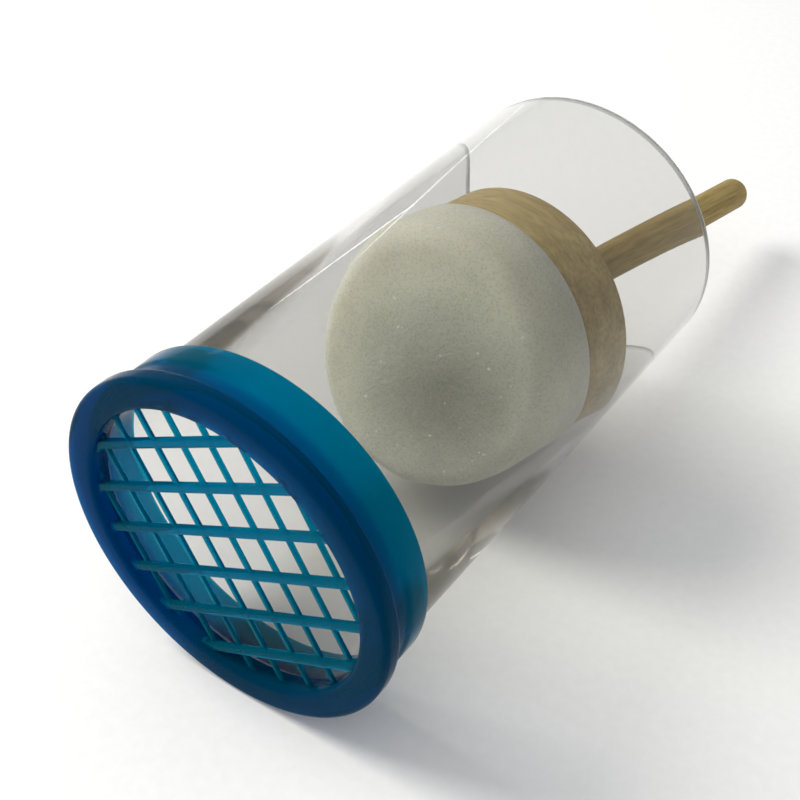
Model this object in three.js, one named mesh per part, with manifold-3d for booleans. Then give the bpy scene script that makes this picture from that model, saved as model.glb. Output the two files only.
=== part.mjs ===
// Queen marking cage: a clear tube with a push-on grid cap at its front and a foam-faced plunger inside.
// The tube lies on its side along +Y. The cap's face looks along -Y, and the plunger's handle points to +Y.
// All sizes are in millimetres.
import * as THREE from "three";
import { mergeVertices } from "three/addons/utils/BufferGeometryUtils.js";
import Module from "manifold-3d";

// ---------- driving dimensions ----------

const TUBE_OUTER_RADIUS = 20;
const TUBE_WALL = 1;
const TUBE_LENGTH = 74;
const TUBE_EDGE_BREAK = 0.15; // the small chamfer at each end of the tube
const TUBE_SEAT_GAP = 0.2; // between the tube's front end and the cap's ring

const FLANGE_RADIUS = 22;
const FLANGE_THICKNESS = 2.4;
const FLANGE_FRONT_ROUND = 0.7;
const FLANGE_BACK_ROUND = 0.7;
const CAP_HOLE_RADIUS = 18.3;
const CAP_HOLE_ROUND = 0.6;
const CAP_PLATE = 2.65; // thickness of the ring that the tube butts against
const CAP_LENGTH = 8.5;
const SKIRT_CLEARANCE = 0.15; // radial play between the skirt and the tube
const SKIRT_NECK_RADIUS = 20.85;
const SKIRT_BAND_RADIUS = 21.1;
const SKIRT_BAND_START = 4.6; // where the skirt starts to swell towards its slightly thicker end
const SKIRT_BAND_SLOPE = 1.2; // length over which it swells
const SKIRT_EDGE_BREAK = 0.25;

const GRID_ROLL_DEG = 28; // turn of the grid about the tube's axis
const GRID_EMBED = 0.6; // how far the bars run into the ring
const ROWS = { count: 6, pitch: 5.55, width: 1.1, front: 0.65, depth: 0.8 };
const COLUMNS = { count: 8, pitch: 4.5, width: 0.7, front: 1.1, depth: 0.45 };

// The plunger is loose in the tube, so it leans until the disc's lower edge and the pad's upper edge
// are close to the bore.
const PLUNGER_DROOP_DEG = 9.7; // how far the handle hangs down from the tube's axis
const PLUNGER_SWING_DEG = 4.6; // how far the handle points to +X
const PLUNGER_CENTRE = { x: 1.75, y: 52.35, z: -0.55 }; // middle of the wood disc
const DISC_RADIUS = 16.35;
const DISC_THICKNESS = 8.5;
const DISC_EDGE_BREAK = 0.5;
const DOWEL_RADIUS = 2.5;
const DOWEL_LENGTH = 72.3;
const DOWEL_DOME = 1.8; // height of the rounded tip
const DOWEL_HOLE_CLEARANCE = 0.15;
const GLUE_RADIUS = 15.9;
const GLUE_THICKNESS = 0.3;
const GLUE_GAP = 0.05;
const FOAM_RADIUS = 16.8;
const FOAM_THICKNESS = 10;
const FOAM_FRONT_ROUND = 2;
const FOAM_BACK_ROUND = 0.8;

const ROUND_SEGMENTS = 96; // facets round the tube and the cap
const DISC_SEGMENTS = 72;
const DOWEL_SEGMENTS = 32;
const ARC_STEPS = 5; // facets along a quarter of a rounded edge
const SMALL_ARC_STEPS = 3; // the same on the smallest edges

// ---------- positions that follow from them ----------

const radians = THREE.MathUtils.degToRad;
const TUBE_START = CAP_PLATE + TUBE_SEAT_GAP;
const TUBE_INNER_RADIUS = TUBE_OUTER_RADIUS - TUBE_WALL;
const SKIRT_INNER_RADIUS = TUBE_OUTER_RADIUS + SKIRT_CLEARANCE;

const wasm = await Module();
wasm.setup();

// ---------- helpers ----------

const point = (radius, y) => new THREE.Vector2(radius, y);

// Points of an arc in the profile plane, from one angle to another, both ends included.
function arc(centreRadius, centreY, radius, fromDeg, toDeg, steps = ARC_STEPS) {
  const points = [];
  for (let i = 0; i <= steps; i++) {
    const angle = radians(THREE.MathUtils.lerp(fromDeg, toDeg, i / steps));
    points.push(point(centreRadius + radius * Math.cos(angle), centreY + radius * Math.sin(angle)));
  }
  return points;
}

// A solid of revolution about Y. The outline runs counter-clockwise with the axis on its left.
function lathe(outline, segments) {
  return positionsOnly(new THREE.LatheGeometry(outline, segments));
}

function positionsOnly(geometry) {
  geometry.deleteAttribute("normal");
  geometry.deleteAttribute("uv");
  return mergeVertices(geometry, 1e-4);
}

function toManifold(geometry) {
  return new wasm.Manifold(
    new wasm.Mesh({
      numProp: 3,
      vertProperties: geometry.getAttribute("position").array,
      triVerts: new Uint32Array(geometry.index.array),
    }),
  );
}

function fromManifold(solid) {
  const mesh = solid.getMesh();
  const geometry = new THREE.BufferGeometry();
  geometry.setAttribute("position", new THREE.BufferAttribute(mesh.vertProperties, 3));
  geometry.setIndex(new THREE.BufferAttribute(mesh.triVerts, 1));
  return geometry;
}

function namedMesh(name, geometry, material) {
  geometry.computeVertexNormals();
  const mesh = new THREE.Mesh(geometry, material);
  mesh.name = name;
  return mesh;
}

// ---------- materials ----------

const clearPlastic = new THREE.MeshStandardMaterial({
  color: 0xdfe3e2,
  roughness: 0.05,
  metalness: 0,
  transparent: true,
  opacity: 0.3,
});
const bluePlastic = new THREE.MeshStandardMaterial({ color: 0x03507f, roughness: 0.25, metalness: 0 });
const whiteFoam = new THREE.MeshStandardMaterial({ color: 0xc9cabb, roughness: 0.95, metalness: 0 });
const dryGlue = new THREE.MeshStandardMaterial({ color: 0xd8cfae, roughness: 0.5, metalness: 0 });
const discWood = new THREE.MeshStandardMaterial({ color: 0xa38c5c, roughness: 0.75, metalness: 0 });
const dowelWood = new THREE.MeshStandardMaterial({ color: 0xa08a56, roughness: 0.7, metalness: 0 });

// ---------- tube ----------

function tubeGeometry() {
  const start = TUBE_START;
  const end = TUBE_START + TUBE_LENGTH;
  const inner = TUBE_INNER_RADIUS;
  const outer = TUBE_OUTER_RADIUS;
  const edge = TUBE_EDGE_BREAK;
  const outline = [
    point(inner + edge, start),
    point(outer - edge, start),
    point(outer, start + edge),
    point(outer, end - edge),
    point(outer - edge, end),
    point(inner + edge, end),
    point(inner, end - edge),
    point(inner, start + edge),
    point(inner + edge, start),
  ];
  return lathe(outline, ROUND_SEGMENTS);
}

// ---------- cap ----------

function capRingGeometry() {
  const frontRound = FLANGE_FRONT_ROUND;
  const backRound = FLANGE_BACK_ROUND;
  const holeRound = CAP_HOLE_ROUND;
  const outline = [
    ...arc(CAP_HOLE_RADIUS + holeRound, holeRound, holeRound, 180, 270, SMALL_ARC_STEPS),
    ...arc(FLANGE_RADIUS - frontRound, frontRound, frontRound, -90, 0),
    ...arc(FLANGE_RADIUS - backRound, FLANGE_THICKNESS - backRound, backRound, 0, 90, SMALL_ARC_STEPS),
    point(SKIRT_NECK_RADIUS, FLANGE_THICKNESS),
    point(SKIRT_NECK_RADIUS, SKIRT_BAND_START),
    point(SKIRT_BAND_RADIUS, SKIRT_BAND_START + SKIRT_BAND_SLOPE),
    point(SKIRT_BAND_RADIUS, CAP_LENGTH - SKIRT_EDGE_BREAK),
    point(SKIRT_BAND_RADIUS - SKIRT_EDGE_BREAK, CAP_LENGTH),
    point(SKIRT_INNER_RADIUS + SKIRT_EDGE_BREAK, CAP_LENGTH),
    point(SKIRT_INNER_RADIUS, CAP_LENGTH - SKIRT_EDGE_BREAK),
    point(SKIRT_INNER_RADIUS, CAP_PLATE),
    point(CAP_HOLE_RADIUS, CAP_PLATE),
    point(CAP_HOLE_RADIUS, holeRound),
  ];
  return lathe(outline, ROUND_SEGMENTS);
}

// One family of parallel bars, running along X before the grid is turned to its roll.
function addBars(solid, bars, turn) {
  const length = 2 * (CAP_HOLE_RADIUS + GRID_EMBED);
  for (let i = 0; i < bars.count; i++) {
    const box = new THREE.BoxGeometry(length, bars.depth, bars.width);
    const offset = (i - (bars.count - 1) / 2) * bars.pitch;
    box.translate(0, bars.front + bars.depth / 2, offset);
    box.rotateY(-radians(GRID_ROLL_DEG) - turn);
    const bar = toManifold(positionsOnly(box));
    solid = solid ? solid.add(bar) : bar;
  }
  return solid;
}

function capGeometry() {
  const rowsOnly = addBars(null, ROWS, 0);
  const bars = addBars(rowsOnly, COLUMNS, Math.PI / 2);
  // The bars are cut to length by a cylinder that ends inside the ring.
  const reach = CAP_HOLE_RADIUS + GRID_EMBED;
  const cutter = new THREE.CylinderGeometry(reach, reach, 2 * CAP_LENGTH, ROUND_SEGMENTS);
  const grid = bars.intersect(toManifold(positionsOnly(cutter)));
  return fromManifold(toManifold(capRingGeometry()).add(grid));
}

// ---------- plunger ----------

// The plunger's pieces share a leaning frame. Its origin is the middle of the disc, and +Y runs along
// the handle.
const plunger = new THREE.Group();
plunger.position.set(PLUNGER_CENTRE.x, PLUNGER_CENTRE.y, PLUNGER_CENTRE.z);
plunger.rotation.set(-radians(PLUNGER_DROOP_DEG), 0, -radians(PLUNGER_SWING_DEG), "ZXY");

const DISC_FRONT = -DISC_THICKNESS / 2;
const DISC_BACK = DISC_THICKNESS / 2;

function discGeometry() {
  const hole = DOWEL_RADIUS + DOWEL_HOLE_CLEARANCE;
  const edge = DISC_EDGE_BREAK;
  const outline = [
    point(hole, DISC_FRONT),
    point(DISC_RADIUS - edge, DISC_FRONT),
    point(DISC_RADIUS, DISC_FRONT + edge),
    point(DISC_RADIUS, DISC_BACK - edge),
    point(DISC_RADIUS - edge, DISC_BACK),
    point(hole, DISC_BACK),
    point(hole, DISC_FRONT),
  ];
  return lathe(outline, DISC_SEGMENTS);
}

function dowelGeometry() {
  const tip = DISC_FRONT + DOWEL_LENGTH;
  const outline = [point(0, DISC_FRONT), point(DOWEL_RADIUS, DISC_FRONT)];
  for (let i = 0; i <= ARC_STEPS; i++) {
    const angle = (i / ARC_STEPS) * (Math.PI / 2);
    const radius = i === ARC_STEPS ? 0 : DOWEL_RADIUS * Math.cos(angle);
    outline.push(point(radius, tip - DOWEL_DOME + DOWEL_DOME * Math.sin(angle)));
  }
  return lathe(outline, DOWEL_SEGMENTS);
}

function glueGeometry() {
  const back = DISC_FRONT - GLUE_GAP;
  const front = back - GLUE_THICKNESS;
  const rim = [point(GLUE_RADIUS, front), point(GLUE_RADIUS, back)];
  const outline = [point(0, front), ...rim, point(0, back)];
  return lathe(outline, DISC_SEGMENTS);
}

function foamGeometry() {
  const back = DISC_FRONT - GLUE_THICKNESS - 2 * GLUE_GAP;
  const front = back - FOAM_THICKNESS;
  const frontRound = FOAM_FRONT_ROUND;
  const backRound = FOAM_BACK_ROUND;
  const outline = [
    point(0, front),
    ...arc(FOAM_RADIUS - frontRound, front + frontRound, frontRound, -90, 0),
    ...arc(FOAM_RADIUS - backRound, back - backRound, backRound, 0, 90, SMALL_ARC_STEPS),
    point(0, back),
  ];
  return lathe(outline, DISC_SEGMENTS);
}

// ---------- assembly ----------

const cage = new THREE.Group();
cage.add(namedMesh("clear_tube", tubeGeometry(), clearPlastic));
cage.add(namedMesh("grid_cap", capGeometry(), bluePlastic));
plunger.add(namedMesh("foam_pad", foamGeometry(), whiteFoam));
plunger.add(namedMesh("glue_film", glueGeometry(), dryGlue));
plunger.add(namedMesh("wood_disc", discGeometry(), discWood));
plunger.add(namedMesh("handle_dowel", dowelGeometry(), dowelWood));
cage.add(plunger);

// The part's origin is the middle of its footprint, at the height of the surface it lies on.
cage.updateMatrixWorld(true);
const bounds = new THREE.Box3().setFromObject(cage, true);
const middle = bounds.getCenter(new THREE.Vector3());
cage.position.set(-middle.x, -middle.y, -bounds.min.z);

export default cage;
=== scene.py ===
import math

import bmesh
import bpy
from mathutils import Matrix, Vector, noise


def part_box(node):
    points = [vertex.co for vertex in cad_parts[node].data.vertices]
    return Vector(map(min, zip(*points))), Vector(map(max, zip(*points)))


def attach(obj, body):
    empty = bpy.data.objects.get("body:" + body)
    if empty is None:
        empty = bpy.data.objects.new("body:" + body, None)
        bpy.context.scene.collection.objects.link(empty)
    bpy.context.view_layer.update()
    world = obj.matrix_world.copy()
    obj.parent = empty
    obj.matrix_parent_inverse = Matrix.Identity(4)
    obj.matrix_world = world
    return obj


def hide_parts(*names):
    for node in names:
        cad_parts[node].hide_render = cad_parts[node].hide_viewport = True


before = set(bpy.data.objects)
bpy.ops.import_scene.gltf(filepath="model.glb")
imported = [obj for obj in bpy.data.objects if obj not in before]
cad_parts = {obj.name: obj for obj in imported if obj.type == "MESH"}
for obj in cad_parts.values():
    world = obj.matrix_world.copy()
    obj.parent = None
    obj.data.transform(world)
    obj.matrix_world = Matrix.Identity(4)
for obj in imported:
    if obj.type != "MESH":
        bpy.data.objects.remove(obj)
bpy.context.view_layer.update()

# Everything is in metres, in the CAD model's frame: +Y runs along the tube from the cap to the handle.
MM = 0.001

SMOOTH_DEG = 35  # sharper corners than this are shaded as edges

# ---------- driving dimensions, in millimetres ----------

TUBE_WALL = 1.0
TUBE_EDGE_ROUND = 0.22

FLANGE_THICKNESS = 2.4
FLANGE_FRONT_ROUND = 0.7
FLANGE_BACK_ROUND = 0.5
CAP_HOLE_RADIUS = 18.3
CAP_HOLE_ROUND = 0.6
CAP_PLATE = 2.65
SKIRT_INNER_RADIUS = 20.15
SKIRT_NECK_RADIUS = 20.85
SKIRT_FILLET = 0.6  # hollow corner between the flange and the skirt
SKIRT_BAND_RADIUS = 21.1
SKIRT_BAND_START = 4.6
SKIRT_BAND_SLOPE = 1.2
SKIRT_EDGE_ROUND = 0.25

GRID_ROLL_DEG = 28
GRID_EMBED = 0.9  # how far a bar runs into the ring
BAR_DRAFT = 0.08  # how much narrower a bar's front is than its back
BAR_FLARE = 0.4  # how much a bar widens on each side where it meets the ring
ROWS = dict(count=6, pitch=5.55, width=1.1, front=0.65, depth=0.8, round=0.18)
COLUMNS = dict(count=8, pitch=4.5, width=0.7, front=1.1, depth=0.45, round=0.12)

PLUNGER_DROOP_DEG = 9.7
PLUNGER_SWING_DEG = 4.6
DISC_RADIUS = 16.35
DISC_THICKNESS = 8.5
DISC_EDGE_ROUND = 0.5
DISC_HOLE_RADIUS = 2.65
DOWEL_RADIUS = 2.5
DOWEL_LENGTH = 72.3
DOWEL_DOME = 1.8
GLUE_RADIUS = 15.9
GLUE_THICKNESS = 0.3
GLUE_GAP = 0.05
GLUE_WAVE = 0.25  # how far its edge wanders
GLUE_SHRINK = 0.2  # keeps the edge inside the layer's size
FOAM_RADIUS = 16.95
FOAM_THICKNESS = 10.0
FOAM_FRONT_ROUND = 2.6
FOAM_BACK_ROUND = 0.9
FOAM_SMOOTH_BACK = 0.5  # the stretch in front of the glue that has no lumps or pores
FOAM_DOME = 0.5  # how far the middle of the face stands out
FOAM_LUMPS = 0.16  # heights of the unevenness in the skin
FOAM_PORES = 0.07
FOAM_FINE_PORES = 0.05
FOAM_LUMPS_PER_MM = 0.18
FOAM_PORES_PER_MM = 1.7
FOAM_FINE_PORES_PER_MM = 3.7
FOAM_SHRINK = 0.08  # pulls the skin in, to make room for the lumps
# Middle of the painted shade on the foam's face.
PAINTED_SHADE_CENTRE = Vector((0.0050, -0.0148, -0.0010))  # in the plunger's frame, in metres

# ---------- places taken from the frame ----------

tube_low, tube_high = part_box("clear_tube")
cap_low, cap_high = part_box("grid_cap")
disc_low, disc_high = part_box("wood_disc")

AXIS = (tube_low + tube_high) / 2
TUBE_RADIUS = (tube_high.x - tube_low.x) / 2 / MM
TUBE_LENGTH = (tube_high.y - tube_low.y) / MM
FLANGE_RADIUS = (cap_high.x - cap_low.x) / 2 / MM
CAP_LENGTH = (cap_high.y - cap_low.y) / MM

tube_frame = Matrix.Translation((AXIS.x, tube_low.y, AXIS.z))
cap_frame = Matrix.Translation((AXIS.x, cap_low.y, AXIS.z))
plunger_frame = (
    Matrix.Translation((disc_low + disc_high) / 2)
    @ Matrix.Rotation(-math.radians(PLUNGER_SWING_DEG), 4, "Z")
    @ Matrix.Rotation(-math.radians(PLUNGER_DROOP_DEG), 4, "X")
)


# ---------- mesh helpers ----------

def arc(centre_radius, centre_along, radius, start_deg, end_deg, steps=6):
    """Profile points of an arc, both ends included."""
    points = []
    for i in range(steps + 1):
        angle = math.radians(start_deg + (end_deg - start_deg) * i / steps)
        points.append((centre_radius + radius * math.cos(angle), centre_along + radius * math.sin(angle)))
    return points


def revolve(outline, segments):
    """A bmesh turned about +Y from (radius, along) points in millimetres. A radius of 0 is a pole."""
    bm = bmesh.new()
    rings = []
    for radius, along in outline:
        if radius < 1e-6:
            rings.append([bm.verts.new((0, along * MM, 0))])
            continue
        ring = []
        for i in range(segments):
            angle = 2 * math.pi * i / segments
            across = radius * math.sin(angle)
            up = radius * math.cos(angle)
            ring.append(bm.verts.new((across * MM, along * MM, up * MM)))
        rings.append(ring)
    if len(rings[0]) > 1:
        rings.append(rings[0])
    for a, b in zip(rings, rings[1:]):
        for i in range(segments):
            j = (i + 1) % segments
            if len(a) == 1:
                bm.faces.new((a[0], b[i], b[j]))
            elif len(b) == 1:
                bm.faces.new((a[i], b[0], a[j]))
            else:
                bm.faces.new((a[i], b[i], b[j], a[j]))
    bmesh.ops.recalc_face_normals(bm, faces=bm.faces)
    return bm


def piece_from(bm, name, place, smooth_deg=SMOOTH_DEG):
    """Moves a bmesh from its own frame into the model's and makes it an object, smooth up to that angle."""
    bm.transform(place)
    mesh = bpy.data.meshes.new(name)
    bm.to_mesh(mesh)
    bm.free()
    mesh.shade_smooth()
    mesh.set_sharp_from_angle(angle=math.radians(smooth_deg))
    piece = bpy.data.objects.new(name, mesh)
    bpy.context.scene.collection.objects.link(piece)
    return piece


def finished(piece, body, node, material):
    """Rides, replaces and paints a piece that stands for one CAD node."""
    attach(piece, body)
    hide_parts(node)
    piece.data.materials.clear()
    piece.data.materials.append(material)
    return piece


# ---------- material helpers ----------

class Nodes:
    """A new material's node tree, with short calls that make and link nodes."""

    def __init__(self, name):
        self.material = bpy.data.materials.new(name)
        self.material.use_nodes = True
        self.tree = self.material.node_tree
        self.shader = self.tree.nodes["Principled BSDF"]
        self.output = self.tree.nodes["Material Output"]

    def add(self, kind, **settings):
        node = self.tree.nodes.new(kind)
        for key, value in settings.items():
            setattr(node, key, value)
        return node

    def link(self, source, target):
        self.tree.links.new(source, target)

    def set(self, **values):
        for key, value in values.items():
            self.shader.inputs[key.replace("_", " ")].default_value = value

    def place(self, scale=(1, 1, 1)):
        """Object coordinates in metres, scaled."""
        coordinates = self.add("ShaderNodeTexCoord")
        mapping = self.add("ShaderNodeMapping")
        mapping.inputs["Scale"].default_value = scale
        self.link(coordinates.outputs["Object"], mapping.inputs["Vector"])
        return mapping.outputs["Vector"]

    def place_on_plunger(self, stretch):
        """Coordinates along the plunger's own axes, in metres, divided by stretch."""
        coordinates = self.add("ShaderNodeTexCoord")
        mapping = self.add("ShaderNodeMapping", vector_type="TEXTURE")
        mapping.inputs["Rotation"].default_value = plunger_frame.to_euler()
        mapping.inputs["Scale"].default_value = stretch
        self.link(coordinates.outputs["Object"], mapping.inputs["Vector"])
        return mapping.outputs["Vector"]

    def noise(self, vector, scale, detail=4, roughness=0.55, distortion=0.0):
        node = self.add("ShaderNodeTexNoise")
        node.inputs["Scale"].default_value = scale
        node.inputs["Detail"].default_value = detail
        node.inputs["Roughness"].default_value = roughness
        node.inputs["Distortion"].default_value = distortion
        self.link(vector, node.inputs["Vector"])
        return node.outputs["Fac"]

    def noise_colour(self, vector, scale):
        """Three noises in one colour, to push coordinates about."""
        node = self.add("ShaderNodeTexNoise")
        node.inputs["Scale"].default_value = scale
        self.link(vector, node.inputs["Vector"])
        return node.outputs["Color"]

    def ramp(self, factor, *stops):
        """stops are (position, value or colour)."""
        node = self.add("ShaderNodeValToRGB")
        elements = node.color_ramp.elements
        while len(elements) < len(stops):
            elements.new(1.0)
        for element, (position, value) in zip(elements, stops):
            colour = value if isinstance(value, tuple) else (value,) * 3
            element.position = position
            element.color = (*colour, 1)
        self.link(factor, node.inputs["Fac"])
        return node.outputs["Color"]

    def zones(self, point, axes, reach, *stops):
        """A ramp by the distance from a point along some axes. Each stop is (mm, value or colour)."""
        scale = Vector(axes) / (reach * MM)
        node = self.add("ShaderNodeVectorMath", operation="DISTANCE")
        self.link(self.place(scale=scale), node.inputs[0])
        node.inputs[1].default_value = point * scale
        return self.ramp(node.outputs["Value"], *((distance / reach, value) for distance, value in stops))

    def mix(self, kind, factor, a, b):
        """Blends two colours; a and b are sockets or colours, and factor is a socket or a number."""
        node = self.add("ShaderNodeMix", data_type="RGBA", blend_type=kind)
        for socket, value in ((node.inputs[0], factor), (node.inputs[6], a), (node.inputs[7], b)):
            if isinstance(value, bpy.types.NodeSocket):
                self.link(value, socket)
            elif isinstance(value, tuple):
                socket.default_value = (*value, 1)
            else:
                socket.default_value = value
        return node.outputs[2]

    def bump(self, height, strength, distance_mm, normal=None):
        node = self.add("ShaderNodeBump")
        node.inputs["Strength"].default_value = strength
        node.inputs["Distance"].default_value = distance_mm * MM
        self.link(height, node.inputs["Height"])
        if normal is not None:
            self.link(normal, node.inputs["Normal"])
        return node.outputs["Normal"]

    def absorb(self, colour, density):
        """Dye in the plastic: light that goes a longer way through it comes out darker."""
        dye = self.add("ShaderNodeVolumeAbsorption")
        dye.inputs["Color"].default_value = (*colour, 1)
        dye.inputs["Density"].default_value = density
        self.link(dye.outputs[0], self.output.inputs["Volume"])

    def lets_lamps_through(self, tint):
        """Lamps light what is behind this plastic: a shadow ray meets a tinted transparent surface."""
        path = self.add("ShaderNodeLightPath")
        clear = self.add("ShaderNodeBsdfTransparent")
        clear.inputs["Color"].default_value = (*tint, 1)
        mixer = self.add("ShaderNodeMixShader")
        self.link(path.outputs["Is Shadow Ray"], mixer.inputs[0])
        self.link(self.shader.outputs[0], mixer.inputs[1])
        self.link(clear.outputs[0], mixer.inputs[2])
        self.link(mixer.outputs[0], self.output.inputs["Surface"])


# ---------- materials ----------

def clear_plastic():
    """Extruded clear tube: faint draw lines, hazy smudges, a slight grey tint and frosted cut ends."""
    n = Nodes("clear_plastic")
    # A real plastic's 1.49 or so mirrors the plunger too strongly in the bore.
    n.set(IOR=1.25)
    ends = []
    for end in (tube_low, tube_high):
        ends.append(n.zones(end, (0, 1, 0), 2, (0.3, 1.0), (0.5, 0.0)))
    cut = n.mix("LIGHTEN", 1.0, *ends)
    n.link(n.mix("MIX", cut, (0.75, 0.75, 0.74), (0.52, 0.53, 0.52)), n.shader.inputs["Base Color"])
    n.link(n.ramp(cut, (0.0, 1.0), (1.0, 0.5)), n.shader.inputs["Transmission Weight"])
    smudges = n.ramp(n.noise(n.place(), 90, detail=5), (0.45, 0.015), (0.8, 0.06))
    n.link(n.mix("MIX", cut, smudges, (0.35, 0.35, 0.35)), n.shader.inputs["Roughness"])
    lines = n.noise(n.place(scale=(1, 0.03, 1)), 900, detail=2)
    n.link(n.bump(lines, 0.05, 0.02), n.shader.inputs["Normal"])
    n.absorb((0.55, 0.52, 0.45), 42)
    n.lets_lamps_through((0.90, 0.90, 0.885))
    return n.material


def blue_plastic():
    """Moulded translucent plastic: pale teal where it is thin and navy where it is thick, with the skirt's
    inner wall made paler still by painted light that shines in through the skirt.
    """
    n = Nodes("blue_plastic")
    n.set(IOR=1.08, Transmission_Weight=0.85, Specular_Tint=(0.0, 0.35, 0.9, 1))
    clouds = n.noise(n.place(), 160, detail=4)
    bars = (0.0, 0.42, 0.57)
    # The skirt's inner wall: pale teal for thin plastic, made paler still with painted light that comes in
    # through the skirt.
    lining = (0.0, 0.85, 0.95)
    outside = (0.0, 0.34, 0.49)
    thick = (0.0, 0.20, 0.44)
    # Where distances are taken from, along which axes, and how far they reach in mm.
    outward = (AXIS, (1, 0, 1), 25)
    backward = (cap_low, (0, 1, 0), 20)
    thin = n.zones(*outward, (19.4, bars), (19.9, lining), (20.3, lining), (20.7, outside))
    in_ring = n.zones(*outward, (17.9, 0.0), (18.35, 1.0))
    in_front = n.zones(*backward, (4.2, 1.0), (5.6, 0.0))
    dye = n.mix("MIX", n.mix("MULTIPLY", 1.0, in_ring, in_front), thin, thick)
    streaks = n.ramp(clouds, (0.35, 0.94), (0.7, 1.0))
    n.link(n.mix("MULTIPLY", 1.0, dye, streaks), n.shader.inputs["Base Color"])
    n.link(n.ramp(clouds, (0.3, 0.09), (0.75, 0.16)), n.shader.inputs["Roughness"])
    skin = n.noise(n.place(), 1500, detail=2)
    n.link(n.bump(skin, 0.03, 0.03), n.shader.inputs["Normal"])
    n.absorb((0.0, 0.15, 0.55), 1000)
    n.lets_lamps_through((0.10, 0.30, 0.42))
    return n.material


def foam_material():
    """Open-cell foam: fine dark pores, pale cell walls, a few bright specks and painted shade over the
    middle of the face.
    """
    n = Nodes("foam")
    place = n.place()
    cells = n.add("ShaderNodeTexVoronoi", feature="F1")
    cells.inputs["Scale"].default_value = 2600
    n.link(place, cells.inputs["Vector"])
    pores = n.ramp(cells.outputs["Distance"], (0.1, 0.0), (0.55, 1.0))
    broad = n.noise(place, 120, detail=5)
    tone = n.ramp(broad, (0.3, (0.71, 0.70, 0.57)), (0.7, (0.81, 0.80, 0.66)))
    # Painted shade darkens the middle of the face, out to about 1 / (the scale below) metres, with an
    # uneven edge.
    painted_shade_scale = 60
    reach = n.add("ShaderNodeVectorMath", operation="DISTANCE")
    wandering = n.mix("ADD", 0.12, n.place(scale=(painted_shade_scale,) * 3), n.noise_colour(place, 200))
    n.link(wandering, reach.inputs[0])
    reach.inputs[1].default_value = (plunger_frame @ PAINTED_SHADE_CENTRE) * painted_shade_scale
    painted_shade = n.ramp(reach.outputs["Value"], (0.1, (0.49, 0.505, 0.48)), (0.85, (1.0, 1.0, 1.0)))
    specks = n.ramp(n.noise(place, 1300, detail=1), (0.74, 0.0), (0.78, 1.0))
    colour = n.mix("MULTIPLY", 1.0, n.mix("MULTIPLY", 0.16, tone, pores), painted_shade)
    n.link(n.mix("MIX", specks, colour, (0.9, 0.9, 0.86)), n.shader.inputs["Base Color"])
    n.set(Roughness=0.95, Specular_IOR_Level=0.2, Subsurface_Weight=0.8, Subsurface_Scale=0.008)
    n.set(Subsurface_Radius=(1.0, 0.95, 0.8))
    fine = n.noise(place, 2200, detail=3)
    n.link(n.bump(pores, 0.35, 0.12, n.bump(fine, 0.4, 0.1)), n.shader.inputs["Normal"])
    return n.material


def wood_material(name, light, dark, grain_scale, along):
    """Unfinished pale wood. Grain runs along the piece's X or Y, as along says."""
    n = Nodes(name)
    grain_place = n.place_on_plunger((16, 1, 1) if along == "X" else (1, 16, 1))
    grain = n.noise(grain_place, grain_scale, detail=6, roughness=0.6, distortion=0.1)
    fibres = n.noise(grain_place, grain_scale * 5, detail=3)
    broad = n.noise(n.place(), 60, detail=3)
    base = n.ramp(grain, (0.3, dark), (0.62, light))
    fibre_tone = n.ramp(fibres, (0.35, 0.72), (0.6, 1.0))
    shade = n.ramp(broad, (0.3, 0.86), (0.7, 1.0))
    colour = n.mix("MULTIPLY", 1.0, n.mix("MULTIPLY", 0.8, base, fibre_tone), shade)
    n.link(colour, n.shader.inputs["Base Color"])
    n.set(Specular_IOR_Level=0.3)
    n.link(n.ramp(fibres, (0.3, 0.78), (0.7, 0.6)), n.shader.inputs["Roughness"])
    n.link(n.bump(fibres, 0.5, 0.08), n.shader.inputs["Normal"])
    return n.material


def glue_material():
    """Dried contact adhesive: yellowish, glossy in patches."""
    n = Nodes("glue")
    blotches = n.noise(n.place(), 300, detail=4)
    colour = n.ramp(blotches, (0.35, (0.62, 0.55, 0.36)), (0.7, (0.75, 0.70, 0.52)))
    n.link(colour, n.shader.inputs["Base Color"])
    n.link(n.ramp(blotches, (0.3, 0.3), (0.8, 0.6)), n.shader.inputs["Roughness"])
    n.link(n.bump(blotches, 0.4, 0.1), n.shader.inputs["Normal"])
    return n.material


def floor_material():
    """Pale matt paper."""
    n = Nodes("floor_paper")
    fibres = n.noise(n.place(), 700, detail=4)
    colour = n.ramp(fibres, (0.3, (0.86, 0.86, 0.85)), (0.7, (0.89, 0.89, 0.88)))
    n.link(colour, n.shader.inputs["Base Color"])
    n.set(Roughness=0.9, Specular_IOR_Level=0.1)
    return n.material


# ---------- tube ----------

def make_tube():
    inner = TUBE_RADIUS - TUBE_WALL
    edge = TUBE_EDGE_ROUND
    outline = [
        *arc(inner + edge, edge, edge, 180, 270, 4),
        *arc(TUBE_RADIUS - edge, edge, edge, -90, 0, 4),
        *arc(TUBE_RADIUS - edge, TUBE_LENGTH - edge, edge, 0, 90, 4),
        *arc(inner + edge, TUBE_LENGTH - edge, edge, 90, 180, 4),
    ]
    tube = piece_from(revolve(outline, segments=192), "tube_wall", tube_frame)
    return finished(tube, "tube", "clear_tube", clear_plastic())


# ---------- cap ----------

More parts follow.
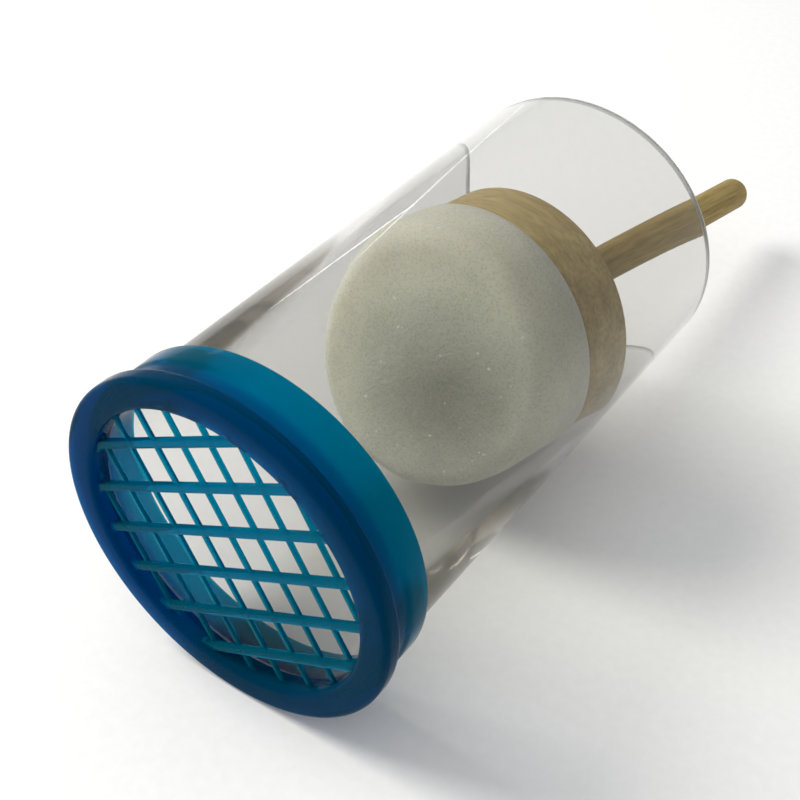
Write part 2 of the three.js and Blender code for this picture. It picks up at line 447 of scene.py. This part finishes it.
def ring_bmesh():
    """The cap's ring and skirt, from the hole's front edge round the outside and back along the lining."""
    front = FLANGE_FRONT_ROUND
    back = FLANGE_BACK_ROUND
    hole = CAP_HOLE_ROUND
    fillet = SKIRT_FILLET
    edge = SKIRT_EDGE_ROUND
    swell = []
    swell_steps = 8
    for i in range(swell_steps + 1):
        rise = (1 - math.cos(math.pi * i / swell_steps)) / 2
        radius = SKIRT_NECK_RADIUS + (SKIRT_BAND_RADIUS - SKIRT_NECK_RADIUS) * rise
        swell.append((radius, SKIRT_BAND_START + SKIRT_BAND_SLOPE * i / swell_steps))
    outline = [
        *arc(CAP_HOLE_RADIUS + hole, hole, hole, 180, 270, 4),
        *arc(FLANGE_RADIUS - front, front, front, -90, 0, 10),
        *arc(FLANGE_RADIUS - back, FLANGE_THICKNESS - back, back, 0, 90, 5),
        *arc(SKIRT_NECK_RADIUS + fillet, FLANGE_THICKNESS + fillet, fillet, 270, 180, 6),
        *swell,
        *arc(SKIRT_BAND_RADIUS - edge, CAP_LENGTH - edge, edge, 0, 90, 3),
        *arc(SKIRT_INNER_RADIUS + edge, CAP_LENGTH - edge, edge, 90, 180, 3),
        *arc(SKIRT_INNER_RADIUS - edge, CAP_PLATE + edge, edge, 0, -90, 3),
        (CAP_HOLE_RADIUS, CAP_PLATE),
    ]
    return revolve(outline, segments=192)


def bar_section(bars, extra):
    """A bar's section as (across, along Y) points in millimetres, counter-clockwise from its back."""
    back_half = bars["width"] / 2 + extra
    front_half = back_half - BAR_DRAFT / 2
    front = bars["front"]
    back = front + bars["depth"]
    r = bars["round"]
    corners = [
        (back_half - r, back - r, 90, 0),
        (front_half - r, front + r, 0, -90),
        (-front_half + r, front + r, -90, -180),
        (-back_half + r, back - r, 180, 90),
    ]
    points = []
    for across, along, start, end in corners:
        points += arc(across, along, r, start, end, 3)
    return points


def bar_bmesh(bars, offset, turn):
    """One bar, widening in a quarter round at both ends, where it runs into the ring."""
    reach = math.sqrt(CAP_HOLE_RADIUS**2 - offset**2)
    stops = [reach + GRID_EMBED]
    flare_steps = 6
    for i in range(flare_steps):
        stops.append(reach - BAR_FLARE * (1 - math.cos(math.radians(90 * i / flare_steps))))
    stations = sorted({-s for s in stops} | set(stops))
    bm = bmesh.new()
    loops = []
    for x in stations:
        depth_in = max(0.0, min(1.0, (abs(x) - reach + BAR_FLARE) / BAR_FLARE))
        extra = BAR_FLARE * (1 - math.sqrt(1 - depth_in**2))
        loop = []
        for across, along in bar_section(bars, extra):
            loop.append(bm.verts.new((x * MM, along * MM, (offset + across) * MM)))
        loops.append(loop)
    for a, b in zip(loops, loops[1:]):
        for i in range(len(a)):
            j = (i + 1) % len(a)
            bm.faces.new((a[i], a[j], b[j], b[i]))
    bm.faces.new(loops[0])
    bm.faces.new(list(reversed(loops[-1])))
    bmesh.ops.recalc_face_normals(bm, faces=bm.faces)
    bm.transform(Matrix.Rotation(-math.radians(GRID_ROLL_DEG) - turn, 4, "Y"))
    return bm


def make_cap():
    cap = piece_from(ring_bmesh(), "cap_moulding", cap_frame)
    grid = []
    for bars, turn in ((ROWS, 0), (COLUMNS, math.pi / 2)):
        for i in range(bars["count"]):
            offset = (i - (bars["count"] - 1) / 2) * bars["pitch"]
            grid.append(piece_from(bar_bmesh(bars, offset, turn), f"bar_{i}", cap_frame))
    union(cap, grid)
    return finished(cap, "cap", "grid_cap", blue_plastic())


def union(piece, others):
    """Joins the others into piece, one at a time, and removes them."""
    for other in others:
        modifier = piece.modifiers.new("join", "BOOLEAN")
        modifier.operation = "UNION"
        modifier.solver = "MANIFOLD"
        modifier.object = other
        depsgraph = bpy.context.evaluated_depsgraph_get()
        joined = bpy.data.meshes.new_from_object(piece.evaluated_get(depsgraph))
        piece.modifiers.clear()
        piece.data = joined
        bpy.data.objects.remove(other)
    piece.data.name = piece.name
    piece.data.shade_smooth()
    piece.data.set_sharp_from_angle(angle=math.radians(SMOOTH_DEG))


# ---------- plunger ----------

def make_foam():
    """A foam pad cut from sheet: its face is a little domed, and its skin is lumpy and finely pitted."""
    back = -DISC_THICKNESS / 2 - GLUE_THICKNESS - 2 * GLUE_GAP
    front = back - FOAM_THICKNESS
    flat = FOAM_RADIUS - FOAM_FRONT_ROUND
    side_start = front + FOAM_FRONT_ROUND
    side_end = back - FOAM_BACK_ROUND
    face_rings = 44
    side_rings = 18
    back_rings = 8
    outline = [(0, front)]
    outline += [(flat * i / face_rings, front) for i in range(1, face_rings)]
    outline += arc(flat, side_start, FOAM_FRONT_ROUND, -90, 0, 10)
    for i in range(1, side_rings):
        outline.append((FOAM_RADIUS, side_start + (side_end - side_start) * i / side_rings))
    outline += arc(FOAM_RADIUS - FOAM_BACK_ROUND, side_end, FOAM_BACK_ROUND, 0, 90, 5)
    outline += [(FOAM_RADIUS * (1 - i / back_rings), back) for i in range(1, back_rings)]
    outline.append((0, back))
    bm = revolve(outline, segments=288)
    bm.normal_update()
    for v in bm.verts:
        p = v.co / MM
        radius = math.hypot(p.x, p.z)
        on_front = max(0.0, min(1.0, (side_start - p.y) / FOAM_FRONT_ROUND))
        dome = FOAM_DOME * (1 - (radius / FOAM_RADIUS) ** 2) * on_front
        lumps = FOAM_LUMPS * noise.noise(p * FOAM_LUMPS_PER_MM)
        pores = FOAM_PORES * noise.noise(p * FOAM_PORES_PER_MM)
        fine_pores = FOAM_FINE_PORES * noise.noise(p * FOAM_FINE_PORES_PER_MM + Vector((5, 5, 5)))
        if p.y < back - FOAM_SMOOTH_BACK:
            v.co += v.normal * (lumps + (pores + fine_pores) - FOAM_SHRINK) * MM
        v.co.y -= dome * MM
    foam = piece_from(bm, "foam_block", plunger_frame, smooth_deg=80)
    finished(foam, "plunger", "foam_pad", foam_material())
    return foam


def make_glue():
    """A thin layer with a rounded edge that wanders in and out."""
    back = -DISC_THICKNESS / 2 - GLUE_GAP
    front = back - GLUE_THICKNESS
    middle = (front + back) / 2
    half = GLUE_THICKNESS / 2
    rings = 12
    outline = [(0, front)]
    outline += [(GLUE_RADIUS * i / rings, front) for i in range(1, rings)]
    outline += arc(GLUE_RADIUS - half, middle, half, -90, 90, 6)
    outline += [(GLUE_RADIUS * (rings - i) / rings, back) for i in range(1, rings)]
    outline.append((0, back))
    bm = revolve(outline, segments=96)
    for v in bm.verts:
        angle = math.atan2(v.co.x, v.co.z)
        radius = math.hypot(v.co.x, v.co.z) / MM
        wave = GLUE_WAVE * noise.noise(Vector((3 * math.cos(angle), 3 * math.sin(angle), 0))) - GLUE_SHRINK
        scale = 1 + wave * (radius / GLUE_RADIUS) ** 4 / GLUE_RADIUS
        v.co.x *= scale
        v.co.z *= scale
    glue = piece_from(bm, "glue_layer", plunger_frame)
    return finished(glue, "plunger", "glue_film", glue_material())


def make_disc():
    edge = DISC_EDGE_ROUND
    half = DISC_THICKNESS / 2
    outline = [
        (DISC_HOLE_RADIUS, -half),
        (DISC_RADIUS / 2, -half),
        *arc(DISC_RADIUS - edge, -half + edge, edge, -90, 0, 4),
        (DISC_RADIUS, -half / 2),
        (DISC_RADIUS, 0),
        (DISC_RADIUS, half / 2),
        *arc(DISC_RADIUS - edge, half - edge, edge, 0, 90, 4),
        (DISC_RADIUS / 2, half),
        (DISC_HOLE_RADIUS, half),
    ]
    disc = piece_from(revolve(outline, segments=144), "disc_wood_block", plunger_frame)
    light = (0.70, 0.55, 0.26)
    dark = (0.53, 0.39, 0.17)
    wood = wood_material("disc_wood", light, dark, grain_scale=420, along="X")
    return finished(disc, "plunger", "wood_disc", wood)


def make_dowel():
    start = -DISC_THICKNESS / 2
    tip = start + DOWEL_LENGTH
    rod_rings = 40
    tip_rings = 8
    outline = [(0, start), (DOWEL_RADIUS * 0.5, start), (DOWEL_RADIUS, start)]
    for i in range(1, rod_rings):
        outline.append((DOWEL_RADIUS, start + (DOWEL_LENGTH - DOWEL_DOME) * i / rod_rings))
    for i in range(tip_rings):
        angle = math.radians(90 * i / tip_rings)
        outline.append((DOWEL_RADIUS * math.cos(angle), tip - DOWEL_DOME + DOWEL_DOME * math.sin(angle)))
    outline.append((0, tip))
    dowel = piece_from(revolve(outline, segments=64), "dowel_rod", plunger_frame)
    light = (0.38, 0.28, 0.095)
    dark = (0.24, 0.165, 0.05)
    wood = wood_material("dowel_wood", light, dark, grain_scale=900, along="Y")
    return finished(dowel, "plunger", "handle_dowel", wood)


# ---------- stage ----------

FLOOR_RADIUS = 3.0
CAMERA_FROM_TUBE = Vector((71.39, -70.77, 103.32)) * MM  # from the middle of the tube's front end
CAMERA_AZIMUTH_DEG = 35.2
CAMERA_ELEVATION_DEG = 40.14
SENSOR_MM = 36.0
LENS_MM = 60.14
MOST_BOUNCES = 40


def make_camera():
    data = bpy.data.cameras.new("camera")
    data.sensor_width = SENSOR_MM
    data.lens = LENS_MM
    data.clip_start = 0.005
    camera = bpy.data.objects.new("camera", data)
    camera.location = Vector((AXIS.x, tube_low.y, AXIS.z)) + CAMERA_FROM_TUBE
    camera.rotation_euler = (math.radians(90 - CAMERA_ELEVATION_DEG), 0, math.radians(CAMERA_AZIMUTH_DEG))
    bpy.context.scene.collection.objects.link(camera)
    bpy.context.scene.camera = camera


def make_floor():
    bm = bmesh.new()
    bmesh.ops.create_circle(bm, cap_ends=True, segments=96, radius=FLOOR_RADIUS)
    floor = piece_from(bm, "floor", Matrix.Identity(4))
    floor.data.materials.append(floor_material())


def make_light(name, place, aim, size, watts, colour, mirrored=True):
    """A soft lamp. One that isn't mirrored leaves no streak on glossy pieces."""
    data = bpy.data.lights.new(name, "AREA")
    data.shape = "ELLIPSE"
    data.size, data.size_y = size
    data.energy = watts
    data.color = colour
    light = bpy.data.objects.new(name, data)
    light.location = place
    light.visible_glossy = mirrored
    light.visible_transmission = mirrored
    light.rotation_euler = (Vector(aim) - Vector(place)).to_track_quat("-Z", "Y").to_euler()
    bpy.context.scene.collection.objects.link(light)


def make_world():
    world = bpy.data.worlds.new("studio")
    world.use_nodes = True
    background = world.node_tree.nodes["Background"]
    background.inputs["Color"].default_value = (0.97, 0.98, 1.0, 1)
    background.inputs["Strength"].default_value = 0.68
    bpy.context.scene.world = world


def make_picture_settings():
    """Light that enters a clear wall at a low angle bounces many times before it leaves."""
    scene = bpy.context.scene
    scene.view_settings.view_transform = "Standard"
    scene.cycles.use_denoising = True
    scene.cycles.max_bounces = MOST_BOUNCES
    scene.cycles.transmission_bounces = MOST_BOUNCES
    scene.cycles.glossy_bounces = MOST_BOUNCES // 2
    scene.cycles.transparent_max_bounces = MOST_BOUNCES


make_camera()
make_floor()
make_world()
make_light(
    "key", place=(-0.42, -0.14, 0.42), aim=AXIS, size=(0.32, 0.32), watts=3.2,
    colour=(1.0, 0.98, 0.94), mirrored=False,
)
# A long narrow window, parallel to the tube, that draws one thin highlight along it.
make_light(
    "window", place=(-0.42, 0.33, 0.155), aim=(0, 0.33, 0.022), size=(0.18, 0.014), watts=0.035,
    colour=(1.0, 1.0, 0.92),
)
make_picture_settings()

make_tube()
make_cap()
make_foam()
make_glue()
make_disc()
make_dowel()
